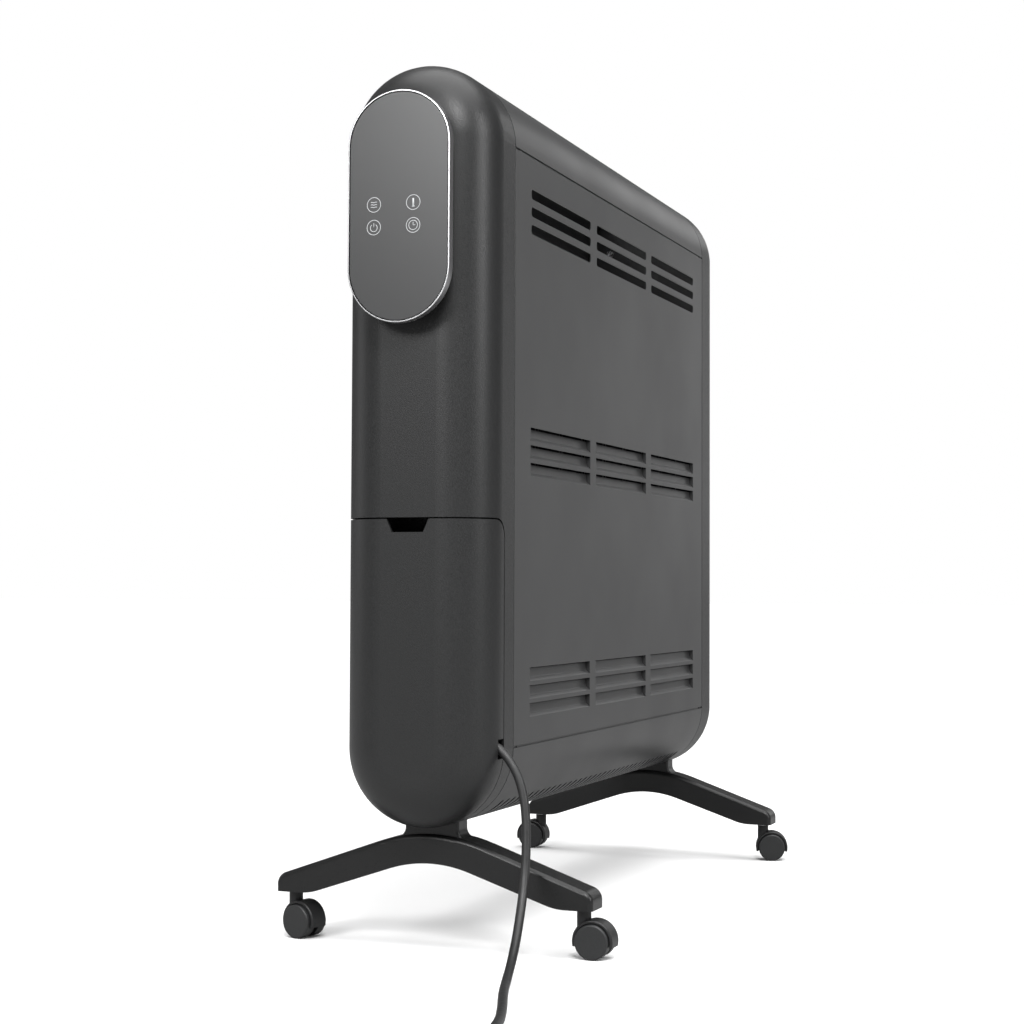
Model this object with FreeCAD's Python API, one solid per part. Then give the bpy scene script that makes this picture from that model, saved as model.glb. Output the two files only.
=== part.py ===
"""Oil filled radiator heater in a slim upright cabinet on two arched feet with twin-wheel casters.

The length runs along Y. The end cap with the touch panel and the cord store faces -Y.
Z is up from the floor, and the origin lies under the middle of the whole length.
"""
import FreeCAD, Part
import math
import os

from FreeCAD import Vector

# ---- driving dimensions, millimetres ----

# cabinet
overall_height = 700.0
body_width = 126.2
body_length = 692.0
cap_depth = 66.5
cap_edge_radius = 40.0
cap_wall = 2.5
sheet = 0.8
seam = 1.0
cover_gap = 1.6
lip_depth = 8.0
lip_wall = 1.4
fit_gap = 0.3

# louvres in the side panels
slot_height = 7.9
slot_pitch = 14.4
slots_in_row = 3
slot_group_length = 151.5
slot_group_gap = 16.3
slot_first = 36.6
slot_last = 35.0
slot_corner = 3.0
top_row_drop = 26.7
bottom_row_rise = 61.5
scoop_depth = 4.5
scoop_knee_depth = 3.4
scoop_knee_radius = 2.5
scoop_slope = 3.0
scoop_opening = 1.0
panel_edge_radius = 0.5
cap_rim_radius = 0.4

# covers and their transverse slots
cover_lip_drop = 9.0
cover_lip_root = 4.0
cover_slot_pitch = 14.0
cover_slot_width = 5.0
cover_slot_half_span = 44.0
cover_slot_margin = 26.0

# touch panel
panel_stand = 21.0
panel_width = 85.4
panel_height = 180.0
panel_drop = 122.0
ring_depth = 7.0
ring_wall = 1.0
glass_gap = 0.6
glass_thickness = 3.0
glass_recess = 0.3
neck_recess = 6.0
housing_wall = 2.0
icon_columns = [-20.6, 12.5]
icon_lift = 2.3
icon_step = 18.0

# cord store and its door
door_top = 338.7
door_rear = 21.0
door_corner = 15.0
door_gap = 1.2
finger_notch_top = 37.0
finger_notch_bottom = 26.5
finger_notch_depth = 10.9
tray_wall = 2.5
hinge_forward = 24.0
hinge_height = 4.2
hinge_pin_radius = 1.5
hinge_barrel_radius = 2.9
knuckle_half = 5.0
ear_width = 4.6
cord_notch_low = 56.0
cord_notch_high = 71.5
cord_exit_height = 74.0
cord_exit_forward = 27.0

# feet
foot_span = 271.0
foot_width = 29.0
foot_forward = 5.6
foot_backward = 19.1
foot_rise = 58.5
foot_top_slope = 0.352
foot_under_slope = 0.335
foot_crown_drop = 6.0
foot_arch_drop = 29.0
foot_crown_radius = 136.0
foot_arch_radius = 107.0
foot_toe_radius = 50.0
foot_end_radius = 10.0
foot_edge_radius = 4.0
saddle_half = 23.0
saddle_flare = 8.0
saddle_width = 21.0
saddle_round = 2.5

# casters
caster_inset = 11.0
wheel_radius = 13.6
wheel_width = 9.0
caster_width = 23.2
caster_trail = 9.0
hood_wall = 2.1
hood_width = 17.0
hood_foot_z = 9.5
wheel_clearance = 0.8
neck_rise = 5.7
collar_height = 1.4
collar_gap = 0.3
stem_radius = 4.0
stem_pin_radius = 3.0
neck_radius = 5.6
axle_radius = 2.0
running = 0.05
caster_angles = {"fr": 0.0, "fl": -15.0, "rr": 15.0, "rl": 180.0}

# oil filled core
fin_pitch = 60.0
fin_width = 104.0
fin_top_gap = 150.0
fin_thickness = 9.5
fin_skirt = 1.5
fin_wall = 0.7
fin_corner = 20.0
fin_base_rise = 13.0
hub_radius = 20.0
hub_wall = 1.2
hub_inset = 35.0
core_start = 80.0
core_end = 50.0
element_radius = 4.0

# chassis
channel_width = 40.0
channel_height = 14.0
channel_steel = 1.5
end_plate_inset = 10.0

# mains lead
cord_diameter = 7.0
coil_middle_radius = 42.0
plug_length = 38.0
plug_head_length = 23.6
plug_width = 36.0
plug_height = 27.0
plug_pin_radius = 2.4
plug_pin_length = 19.0
plug_pin_spacing = 19.0

# ---- places that follow from them ----

body_half = body_width / 2
hood_radius = wheel_radius + wheel_clearance + hood_wall
foot_sole_z = wheel_radius + hood_radius + neck_rise + collar_gap + collar_height
body_low = foot_sole_z + foot_rise
foot_crown = body_low - foot_crown_drop
foot_arch = body_low - foot_arch_drop
body_high = overall_height
front_y = -(body_length + panel_stand) / 2 + panel_stand
rear_y = front_y + body_length
front_seam = front_y + cap_depth
rear_seam = rear_y - cap_depth
panel_top_z = body_high - body_half
panel_bottom_z = body_low + body_half
inner_half = body_half - cap_wall
panel_front = front_y - panel_stand
ring_back = panel_front + ring_depth
panel_centre_z = body_high - panel_drop
icon_rows = [panel_centre_z + icon_lift, panel_centre_z + icon_lift - icon_step]
panel_half = panel_width / 2
panel_low = panel_centre_z - panel_height / 2
panel_high = panel_centre_z + panel_height / 2
door_rear_y = front_seam - door_rear
tray_back_y = door_rear_y + 2.5
hinge_y = front_seam - hinge_forward
hinge_z = body_low + hinge_height
cord_y = front_seam - cord_exit_forward
cord_z = body_low + cord_exit_height
foot_front_y = front_seam - foot_forward
foot_rear_y = rear_seam + foot_backward
stem_x = foot_span / 2 - caster_inset
channel_z = body_low + cap_wall + 4.5
channel_top = channel_z + channel_height
plate_front_y = front_seam + end_plate_inset
plate_rear_y = rear_seam - end_plate_inset - channel_steel
fin_base_z = channel_top + fin_base_rise
fin_height = body_high - fin_top_gap - fin_base_z
low_hub_z = fin_base_z + hub_inset
high_hub_z = fin_base_z + fin_height - hub_inset
fin_half_gap = (fin_pitch - fin_thickness) / 2
first_fin_y = front_seam + core_start
fin_count = int((rear_seam - core_end - first_fin_y) // fin_pitch) + 1
last_fin_y = first_fin_y + (fin_count - 1) * fin_pitch
core_front_y = first_fin_y - fin_thickness / 2 - fin_half_gap

X = Vector(1, 0, 0)
Y = Vector(0, 1, 0)
Z = Vector(0, 0, 1)
parts = {}


# ---- shape helpers ----

def block(x0, x1, y0, y1, z0, z1):
    return Part.makeBox(x1 - x0, y1 - y0, z1 - z0, Vector(x0, y0, z0))


def rod(x, y, z, radius, length, along):
    """A cylinder that starts at a point and runs along an axis."""
    return Part.makeCylinder(radius, length, Vector(x, y, z), along)


def sleeve(x, y, z, outer, inner, length, along):
    return rod(x, y, z, outer, length, along).cut(rod(x, y, z, inner, length, along))


def fused(shapes):
    """One solid from several, with the seams between them taken out."""
    whole = shapes[0].fuse(list(shapes[1:])).removeSplitter()
    return whole.Solids[0] if len(whole.Solids) == 1 else whole


def group(shapes):
    """Separate solids of one node."""
    solids = []
    for shape in shapes:
        solids.extend(shape.Solids)
    return Part.makeCompound(solids)


def prism(points, push):
    """A flat polygon pushed along a vector."""
    corners = [Vector(*point) for point in points]
    outline = Part.makePolygon(corners + [corners[0]])
    return Part.Face(outline).extrude(push)


def stadium(half, low, high, y0, y1):
    """An upright bar with half-round top and bottom, pushed along Y."""
    top = high - half
    bottom = low + half
    outline = Part.Wire([
        Part.LineSegment(Vector(half, y0, bottom), Vector(half, y0, top)).toShape(),
        Part.Arc(Vector(half, y0, top), Vector(0, y0, high), Vector(-half, y0, top)).toShape(),
        Part.LineSegment(Vector(-half, y0, top), Vector(-half, y0, bottom)).toShape(),
        Part.Arc(Vector(-half, y0, bottom), Vector(0, y0, low), Vector(half, y0, bottom)).toShape(),
    ])
    return Part.Face(outline).extrude(Vector(0, y1 - y0, 0))


def edges_at(shape, axis, value):
    """Edges that lie wholly in the plane axis = value."""
    found = []
    for edge in shape.Edges:
        box = edge.BoundBox
        low, high = {"x": (box.XMin, box.XMax), "y": (box.YMin, box.YMax), "z": (box.ZMin, box.ZMax)}[axis]
        if abs(low - value) < 0.01 and abs(high - value) < 0.01:
            found.append(edge)
    return found


def end_cap(half, low, high, face_y, seam_y, radius):
    """A stadium block with a large round along the edge of its end face."""
    solid = stadium(half, low, high, face_y, seam_y)
    return solid.makeFillet(radius, edges_at(solid, "y", face_y))


def cap_shell(face_y, seam_y):
    """The hollow end cap, open towards the side panels, with a lip that reaches under them."""
    inward = 1 if seam_y > face_y else -1
    rim_y = seam_y - inward * seam / 2
    outer = end_cap(body_half, body_low, body_high, face_y, rim_y, cap_edge_radius)
    outer = outer.makeFillet(cap_rim_radius, edges_at(outer, "y", rim_y))
    hollow = end_cap(inner_half, body_low + cap_wall, body_high - cap_wall,
                     face_y + inward * cap_wall, seam_y + inward * lip_depth, cap_edge_radius - cap_wall)
    lip_inset = sheet + fit_gap
    start, stop = seam_y - inward * (seam / 2 + cap_wall), seam_y + inward * lip_depth
    lip = stadium(body_half - lip_inset, body_low + lip_inset, body_high - lip_inset, start, stop)
    inset = lip_inset + lip_wall
    lip = lip.cut(stadium(body_half - inset, body_low + inset, body_high - inset, start, stop))
    return outer.cut(hollow).fuse(lip).removeSplitter().Solids[0]


# ---- cabinet ----

def door_region(margin):
    """The space of the cord store's door, grown by a margin at its top and rear edges."""
    top = door_top + margin
    rear = door_rear_y + margin
    reach = body_width
    solid = block(-reach, reach, front_y - reach, rear, 0, top)
    corner = [edge for edge in solid.Edges
              if abs(edge.BoundBox.YMin - rear) < 0.01 and abs(edge.BoundBox.ZMin - top) < 0.01
              and edge.BoundBox.XLength > reach]
    return solid.makeFillet(door_corner, corner)


def bosses(places, face_y, seam_y, stop):
    """Screw bosses that stand between an end cap's face and its end plate."""
    inward = 1 if seam_y > face_y else -1
    inset = cap_wall / 2
    room = end_cap(body_half - inset, body_low + inset, body_high - inset,
                   face_y + inward * inset, stop, cap_edge_radius - inset)
    low, high = min(face_y, stop), max(face_y, stop)
    return [rod(x, low, z, boss_radius, high - low, Y).common(room) for x, z in places]


def mirrored(x, heights):
    """The same heights on both sides of the middle."""
    return [(side * x, z) for z in heights for side in (-1, 1)]


top_boss_z = body_high - 55
front_boss_places = mirrored(body_half - 27, [top_boss_z]) + mirrored(body_half - 21, [door_top + 46])
rear_boss_places = mirrored(body_half - 27, [top_boss_z]) + mirrored(body_half - 21, [body_low + 104])
control_screw_places = mirrored(panel_half - 18.7, [panel_low + 32, panel_high - 32])
foot_screw_places = [-14.0, 14.0]
boss_radius = 4.5
boss_screw_radius = 1.9
screw_head_radius = 3.5
control_screw_radius = 1.7
foot_screw_radius = 2.5
screw_play = 0.1
screw_length = 15.0
bore_length = screw_length + 1
cable_hole_radius = 8.0
cable_hole_z = panel_centre_z - 18


def make_front_cap():
    shell = cap_shell(front_y, front_seam).cut(door_region(door_gap / 2))
    shell = fused([shell] + bosses(front_boss_places, front_y, front_seam, plate_front_y))
    cuts = [rod(x, plate_front_y - bore_length, z, boss_screw_radius, bore_length + 4, Y)
            for x, z in front_boss_places]
    head_room = screw_head_radius + fit_gap
    cuts += [rod(x, front_y + cap_wall, z, head_room, 6, Y) for x, z in control_screw_places]
    cuts += [rod(x, front_y - 1, z, control_screw_radius, cap_wall + 2, Y) for x, z in control_screw_places]
    cuts.append(rod(0, front_y - 1, cable_hole_z, cable_hole_radius, cap_wall + 2, Y))
    cuts += foot_screw_holes(foot_front_y)
    return shell.cut(cuts)


def foot_screw_holes(y):
    """Holes through a cap's floor, from below it to the underside of the channel."""
    start = body_low - 2
    length = channel_z + 2 - start
    return [rod(x, y, start, foot_screw_radius + screw_play, length, Z) for x in foot_screw_places]


def make_rear_cap():
    shell = cap_shell(rear_y, rear_seam)
    end = plate_rear_y + channel_steel
    shell = fused([shell] + bosses(rear_boss_places, rear_y, rear_seam, end))
    cuts = [rod(x, end - 4, z, boss_screw_radius, bore_length + 4, Y) for x, z in rear_boss_places]
    cuts += foot_screw_holes(foot_rear_y)
    return shell.cut(cuts)


def make_cord_door():
    shell = end_cap(body_half, body_low, body_high, front_y, front_seam, cap_edge_radius)
    hollow = end_cap(inner_half, body_low + cap_wall, body_high - cap_wall,
                     front_y + cap_wall, front_seam + 1, cap_edge_radius - cap_wall)
    shell = shell.cut(hollow).common(door_region(-door_gap / 2))
    top = door_top + 1
    bottom = door_top - finger_notch_depth
    wide, narrow = finger_notch_top / 2, finger_notch_bottom / 2
    outside = front_y - 1
    corners = [(-wide, outside, top), (wide, outside, top),
               (narrow, outside, bottom), (-narrow, outside, bottom)]
    notch = prism(corners, Vector(0, cap_wall + 3, 0))
    barrel = rod(-knuckle_half, hinge_y, hinge_z, hinge_barrel_radius, 2 * knuckle_half, X)
    bore = rod(-knuckle_half - 1, hinge_y, hinge_z, hinge_pin_radius + running, 2 * knuckle_half + 2, X)
    cord_room = cord_diameter / 2 + cord_play
    cord_notch = block(inner_half - 6, body_half + 1, cord_y - cord_room, door_rear_y,
                       body_low + cord_notch_low, body_low + cord_notch_high)
    heel = block(-heel_half, heel_half, hinge_y + 0.6, door_rear_y, body_low - 1, hinge_z + 0.8)
    ear_reach = hinge_barrel_radius + ear_clearance
    ear_room = [block(start - fit_gap, start + ear_width + fit_gap, hinge_y - ear_reach, door_rear_y,
                      body_low - 1, hinge_z + ear_reach - 0.2) for start in ear_starts()]
    shell = shell.cut([notch, cord_notch, heel])
    shell = fused([shell, barrel])
    return shell.cut(ear_room + [bore])


heel_half = 24.0
ear_clearance = 0.7
cord_play = 1.6


def ear_starts():
    """Where each hinge ear begins along X, outside the door's knuckle."""
    return [-knuckle_half - fit_gap - ear_width, knuckle_half + fit_gap]


def hinge_ears():
    """Two ears that carry the door's pin in front of the tray's back wall."""
    ears = []
    ear_top = hinge_z + hinge_barrel_radius
    for start in ear_starts():
        ears.append(rod(start, hinge_y, hinge_z, hinge_barrel_radius, ear_width, X))
        ears.append(block(start, start + ear_width, hinge_y, tray_back_y + 0.5, hinge_z, ear_top))
    return ears


def make_storage_tray():
    """The back wall and roof of the cord store, with the hinge ears."""
    inset = cap_wall + tray_gap
    back = stadium(body_half - inset, body_low + inset, body_high - inset,
                   tray_back_y, tray_back_y + tray_wall)
    roof_z = door_top + door_gap + 1.2
    back = back.common(block(-body_half, body_half, tray_back_y, front_seam, 0, roof_z + tray_wall))
    roof = end_cap(body_half - inset, body_low + inset, body_high - inset,
                   front_y + inset, tray_back_y + tray_wall, cap_edge_radius - inset)
    roof = roof.common(block(-body_half, body_half, front_y, front_seam, roof_z, roof_z + tray_wall))
    tray = fused([back, roof] + hinge_ears())
    pin_bore = rod(-body_half, hinge_y, hinge_z, hinge_pin_radius + press_gap, body_width, X)
    wire_hole = rod(wire_x, tray_back_y - 1, wire_z, 5, tray_wall + 2, Y)
    return tray.cut([pin_bore, wire_hole])


tray_gap = 0.7
press_gap = 0.02


def louvre_groups():
    """The start of each group of slots along a side panel."""
    first = front_seam + slot_first
    step = slot_group_length + slot_group_gap
    count = int((rear_seam - slot_last - first + slot_group_gap) // step)
    return [first + index * step for index in range(count)]


def louvre_rows():
    """The top edge of each row's first slot: under the panel's top, midway, and above its foot."""
    high = panel_top_z - top_row_drop
    low = panel_bottom_z + bottom_row_rise
    return [high, (high + low) / 2, low]


def open_slot(y0, top):
    solid = block(body_half - 10, body_half + 2, y0, y0 + slot_group_length, top - slot_height, top)
    along = [edge for edge in solid.Edges if edge.BoundBox.XLength > 1]
    return solid.makeFillet(slot_corner, along)


def scoop(y0, top, margin):
    """A pressed-in louvre: an upright floor behind the panel and a slope out to its lower edge.

    With a margin it is the outside of the pressing, whose floor stops short of the slot's top.
    """
    face_x = body_half + (1 if margin == 0 else -0.1)
    deep_x = body_half - scoop_depth - margin
    knee_x = body_half - scoop_knee_depth - margin
    knee_z = top - slot_height
    low = knee_z - scoop_slope - margin
    face_z = low - (face_x - body_half) * (knee_z - low) / (body_half - knee_x)
    high = top - (0 if margin == 0 else scoop_opening)
    start = y0 - margin
    corners = [(face_x, start, face_z), (face_x, start, high),
               (deep_x, start, high), (knee_x, start, knee_z)]
    solid = prism(corners, Vector(0, slot_group_length + 2 * margin, 0))
    knee = [edge for edge in solid.Edges if edge.BoundBox.YLength > slot_group_length - 1
            and abs(edge.BoundBox.XMin - knee_x) < 0.01]
    return solid.makeFillet(scoop_knee_radius, knee)


def make_side_panel():
    """The +X panel: a row of open slots at the top and two rows of pressed scoops."""
    panel = block(body_half - sheet, body_half, front_seam + seam / 2, rear_seam - seam / 2,
                  panel_bottom_z + cover_gap / 2, panel_top_z - cover_gap / 2)
    panel = panel.makeFillet(panel_edge_radius, edges_at(panel, "x", body_half))
    cuts = []
    pockets = []
    for y0 in louvre_groups():
        for row, row_top in enumerate(louvre_rows()):
            for index in range(slots_in_row):
                top = row_top - index * slot_pitch
                if row == 0:
                    cuts.append(open_slot(y0, top))
                else:
                    pockets.append(scoop(y0, top, sheet))
                    cuts.append(scoop(y0, top, 0))
    return panel.fuse(pockets).cut(cuts).removeSplitter().Solids[0]


def cover_slots():
    """The middle of each transverse slot along the covers."""
    room = rear_seam - front_seam - 2 * cover_slot_margin
    count = int(room // cover_slot_pitch) + 1
    start = (front_seam + rear_seam - (count - 1) * cover_slot_pitch) / 2
    return [start + index * cover_slot_pitch for index in range(count)]


def make_cover(top_side):
    """A half-round cover between the two caps, with a lip behind each side panel."""
    y0, y1 = front_seam + seam / 2, rear_seam - seam / 2
    shell = stadium(body_half, body_low, body_high, y0, y1)
    shell = shell.cut(stadium(body_half - sheet, body_low + sheet, body_high - sheet, y0 - 1, y1 + 1))
    edge_z = panel_top_z + cover_gap / 2 if top_side else panel_bottom_z - cover_gap / 2
    outside = body_half + 5
    keep = (edge_z, body_high + 5) if top_side else (body_low - 5, edge_z)
    shell = shell.common(block(-outside, outside, y0 - 5, y1 + 5, keep[0], keep[1]))
    lips = []
    lip_gap = lip_depth + 2
    inner = body_half - sheet - fit_gap - sheet
    up = 1 if top_side else -1
    lip_z = sorted([edge_z - up * cover_lip_drop, edge_z + up * cover_lip_root])
    bridge_z = sorted([edge_z + up, edge_z + up * cover_lip_root])
    for side in (-1, 1):
        lip_x = sorted([side * inner, side * (inner + sheet)])
        bridge_x = sorted([side * (inner + sheet / 2), side * (body_half - sheet / 2)])
        lips.append(block(*lip_x, y0 + lip_gap, y1 - lip_gap, *lip_z))
        lips.append(block(*bridge_x, y0 + lip_gap, y1 - lip_gap, *bridge_z))
    cuts = []
    arc_z = body_half - math.sqrt(body_half ** 2 - cover_slot_half_span ** 2) + 3
    for y in cover_slots():
        low, high = (body_high - arc_z, body_high + 2) if top_side else (body_low - 2, body_low + arc_z)
        cuts.append(block(-cover_slot_half_span, cover_slot_half_span,
                          y - cover_slot_width / 2, y + cover_slot_width / 2, low, high))
    return shell.cut(cuts).fuse(lips).removeSplitter().Solids[0]


# ---- touch panel ----

def ring_shape(inset, y0, y1):
    return stadium(panel_half - inset, panel_low + inset, panel_high - inset, y0, y1)


def make_control_ring():
    ring = ring_shape(0, panel_front, ring_back)
    ring = ring.makeFillet(0.4, edges_at(ring, "y", panel_front))
    return ring.cut(ring_shape(ring_wall, panel_front - 1, ring_back + 1))


glass_front = panel_front + glass_recess
glass_back = glass_front + glass_thickness
glass_inset = ring_wall + glass_gap
board_y = ring_back + 2.5
board_thickness = 1.6
board_inset = neck_recess + housing_wall + 1
spring_radius = 3.5
spring_wall = 0.8


def make_control_glass():
    glass = ring_shape(glass_inset, glass_front, glass_back)
    return glass.makeFillet(0.5, edges_at(glass, "y", glass_front))


housing_floor = 2.5


def make_control_housing():
    flange_inset = ring_wall + 0.1
    neck = ring_shape(neck_recess, ring_back - 0.5, front_y)
    flange = ring_shape(flange_inset, glass_back, ring_back)
    body = fused([neck, flange])
    hollow = ring_shape(neck_recess + housing_wall, glass_back - 1, front_y - housing_floor)
    cuts = [hollow, rod(0, front_y - 5, cable_hole_z, cable_hole_radius, 8, Y)]
    cuts += [rod(x, front_y - 5, z, control_screw_radius, 8, Y) for x, z in control_screw_places]
    return body.cut(cuts)


def make_control_board():
    return ring_shape(board_inset, board_y, board_y + board_thickness)


def make_touch_springs():
    """A hollow contact spring behind each touch symbol, from the board to the glass."""
    hole = spring_radius - spring_wall
    return group([sleeve(x, glass_back, z, spring_radius, hole, board_y - glass_back, Y)
                  for x in icon_columns for z in icon_rows])


def screw(x, y, z, radius, length, head_radius, head_height, along):
    """A pan-head screw: y, z at the underside of its head, and its shank runs along the vector."""
    base = Vector(x, y, z)
    head = Part.makeCylinder(head_radius, head_height, base - along * head_height, along)
    shank = Part.makeCylinder(radius, length, base, along)
    recess = Part.makeCylinder(radius * 0.7, head_height * 0.6, base - along * head_height, along)
    return fused([head, shank]).cut(recess)


def make_control_screws():
    radius = control_screw_radius - running
    length = cap_wall + housing_floor - 0.2
    return group([screw(x, front_y + cap_wall, z, radius, length, screw_head_radius, 2.2, Y * -1)
                  for x, z in control_screw_places])


def make_cap_screws():
    radius = boss_screw_radius - running
    front = [screw(x, plate_front_y + channel_steel, z, radius, screw_length, 3.8, 2.4, Y * -1)
             for x, z in front_boss_places]
    rear = [screw(x, plate_rear_y, z, radius, screw_length, 3.8, 2.4, Y) for x, z in rear_boss_places]
    return group(front + rear)


# ---- chassis and electrics ----

def make_base_channel():
    half = channel_width / 2
    y0, y1 = foot_front_y - 8.9, foot_rear_y + foot_width / 2
    steel = channel_steel
    channel = block(-half, half, y0, y1, channel_z, channel_top)
    hollow = block(-half + steel, half - steel, y0 - 1, y1 + 1, channel_z + steel, channel_top + 1)
    holes = [rod(x, y, channel_z - 1, foot_screw_radius + press_gap, 5, Z)
             for x in foot_screw_places for y in (foot_front_y, foot_rear_y)]
    return channel.cut([hollow] + holes)


def make_end_plates():
    """Two steel uprights that carry the caps, notched over the base channel."""
    inset = sheet + fit_gap + lip_wall + 0.6
    plates = []
    windows = [(low_hub_z + 50, door_top + 26), (board_low + 20, panel_top_z - 47)]
    notch = block(-channel_width / 2 - 0.2, channel_width / 2 + 0.2, front_y, rear_y, 0, channel_top + 0.2)
    for y, places in ((plate_front_y, front_boss_places), (plate_rear_y, rear_boss_places)):
        plate = stadium(body_half - inset, body_low + inset, body_high - inset, y, y + channel_steel)
        holes = [rod(x, y - 1, z, boss_screw_radius + screw_play, channel_steel + 2, Y) for x, z in places]
        holes.append(rod(heater_wire_x, y - 1, low_hub_z, 12, channel_steel + 2, Y))
        holes += [block(-window_half, window_half, y - 1, y + channel_steel + 1, low, high)
                  for low, high in windows]
        plates.append(plate.cut([notch] + holes))
    return group(plates)


window_half = 26.0
heater_wire_x = -12.0
board_low = door_top + 61.3
board_high = board_low + 100
terminal_z = cord_z
wire_z = terminal_z + 11
box_wall = 2.0
box_front = tray_back_y - 21.0
box_left, box_right = -44.0, 4.0
wire_x = box_left + 20.0
box_low, box_high = terminal_z - 17.0, terminal_z + 18.0


def make_terminal_box():
    """The closed box in the cord store where the lead meets the wiring."""
    outer = block(box_left, box_right, box_front, tray_back_y, box_low, box_high)
    corners = [edge for edge in outer.Edges
               if edge.BoundBox.ZLength > 30 and edge.BoundBox.YMax < tray_back_y - 1]
    outer = outer.makeFillet(3, corners)
    inner = block(box_left + box_wall, box_right - box_wall, box_front + box_wall, tray_back_y + 1,
                  box_low + box_wall, box_high - box_wall)
    gland = rod(box_right - box_wall - 1, cord_y, cord_z, relief_root_radius - 1.5, box_wall + 2, X)
    return outer.cut([inner, gland])


relief_root_radius = 6.5
relief_length = 26.0
cord_start_x = box_right + relief_length


def make_strain_relief():
    """A tapered moulded sleeve with grip grooves, clamped in the box's side wall."""
    root = rod(box_right, cord_y, cord_z, relief_root_radius, 3, X)
    plug = rod(box_right - box_wall - 4, cord_y, cord_z, relief_root_radius - 1.55, box_wall + 5, X)
    cone = Part.makeCone(relief_root_radius - 0.5, cord_diameter / 2 + 0.9, relief_length - 3,
                         Vector(box_right + 3, cord_y, cord_z), X)
    body = fused([root, plug, cone])
    grooves = [sleeve(box_right + 8 + 5 * index, cord_y, cord_z, 9, cord_diameter / 2 + 1.1, 1.6, X)
               for index in range(3)]
    return body.cut(grooves)


def make_terminal_block():
    block_y = box_front + box_wall + 2
    left = box_left + 6
    body = block(left, left + 26, block_y, block_y + 12, terminal_z - 12, terminal_z + 2)
    screws = [rod(left + 4.5 + 8.5 * index, block_y - 1, terminal_z - 5, 2.2, 6, Y) for index in range(3)]
    return body.cut(screws)


def make_cord_clamp():
    """A bar across the lead inside the terminal box."""
    x0 = box_right - 14.5
    return block(x0, x0 + 5, cord_y - 5, cord_y + 5, terminal_z + 5.6, terminal_z + 9)


def make_cord_hooks():
    """Two hooks on the tray to wind the lead round."""
    hooks = []
    for z, lift in ((box_high + 22, -1), (door_top - 34, 1)):
        arm = block(-18, 18, tray_back_y - 24, tray_back_y, z - 4, z + 4)
        tip_z0, tip_z1 = (z - 14, z + 4) if lift < 0 else (z - 4, z + 14)
        tip = block(-18, 18, tray_back_y - 28, tray_back_y - 24, tip_z0, tip_z1)
        hook = fused([arm, tip])
        outer = [edge for edge in hook.Edges
                 if edge.BoundBox.ZLength > 10 and edge.BoundBox.YMax < tray_back_y - 20]
        hooks.append(hook.makeFillet(1.5, outer))
    return group(hooks)


carrier_y = front_seam - 34.0


def make_board_carrier():
    """A moulded plate on two arms that holds the power board in front of the end plate."""
    plate = block(-34, 34, carrier_y, carrier_y + 2.5, board_low - 5, board_high + 5)
    arms = [block(x, x + 4, carrier_y, plate_front_y, z, z + 12)
            for x in (-30, 26) for z in (board_low + 5, board_high - 17)]
    posts = [rod(x, carrier_y - 4, z, 3, 5, Y) for x in (-27, 27) for z in (board_low + 6, board_high - 6)]
    return fused([plate] + arms + posts)


def make_power_board():
    """The power board with its relays, capacitor and transformer."""
    y1 = carrier_y - 4
    y0 = y1 - 1.6
    board = block(-32, 32, y0, y1, board_low, board_high)
    tall = [block(-26, -8, y0 - 15, y0, board_low + 20, board_low + 40),
            block(-4, 14, y0 - 15, y0, board_low + 20, board_low + 40),
            block(-24, 4, y0 - 13, y0, board_high - 38, board_high - 16),
            rod(20, y0 - 14, board_high - 26, 6, 14, Y)]
    return fused([board] + tall)


def make_tilt_switch():
    y0 = plate_front_y + channel_steel
    body = block(24, 42, y0, y0 + 12, channel_top + 7, channel_top + 33)
    return body.makeFillet(2, [edge for edge in body.Edges if edge.BoundBox.YLength > 10])


def make_temperature_probe():
    y0 = plate_front_y + channel_steel
    z = channel_top + 13
    tip = rod(-34, y0 + 2, z, 2.4, 22, Y)
    clip = block(-38, -30, y0, y0 + 3, z - 4, z + 4)
    return fused([clip, tip])


def wire_run(points, radius):
    """A stiff wire bundle along straight runs with ball corners."""
    pieces = []
    corners = [Vector(*point) for point in points]
    for start, end in zip(corners, corners[1:]):
        pieces.append(Part.makeCylinder(radius, (end - start).Length, start, end - start))
    pieces += [Part.makeSphere(radius, corner) for corner in corners[1:-1]]
    return fused(pieces)


def make_wiring():
    lane_y = front_seam - 5
    wire_y = carrier_y - 9
    fan_out_z = board_low - 26
    supply = wire_run([(wire_x, tray_back_y - 3, wire_z), (wire_x, lane_y, wire_z),
                       (wire_x, lane_y, fan_out_z), (wire_x, wire_y, board_low - 4)], 2.5)
    heater = wire_run([(heater_wire_x, wire_y, board_low - 4), (heater_wire_x, lane_y, fan_out_z),
                       (heater_wire_x, lane_y, low_hub_z),
                       (heater_wire_x, core_front_y - 17, low_hub_z)], 3.0)
    signal = wire_run([(0, wire_y, board_high + 2), (0, front_y + 10, cable_hole_z - 20),
                       (0, front_y + 10, cable_hole_z),
                       (0, board_y + board_thickness + 0.5, cable_hole_z)], 2.0)
    return group([supply, heater, signal])


# ---- oil filled core ----

def rounded_plate(width, low, high, y0, y1, radius):
    plate = block(-width / 2, width / 2, y0, y1, low, high)
    along = [edge for edge in plate.Edges if edge.BoundBox.YLength > abs(y1 - y0) * 0.9]
    return plate.makeFillet(radius, along)


def fin_cavity(y, shrink):
    inset = fin_wall + shrink
    return rounded_plate(fin_width - 2 * inset, fin_base_z + inset, fin_base_z + fin_height - inset,
                         y - fin_thickness / 2 + inset, y + fin_thickness / 2 - inset, fin_corner - inset)


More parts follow.
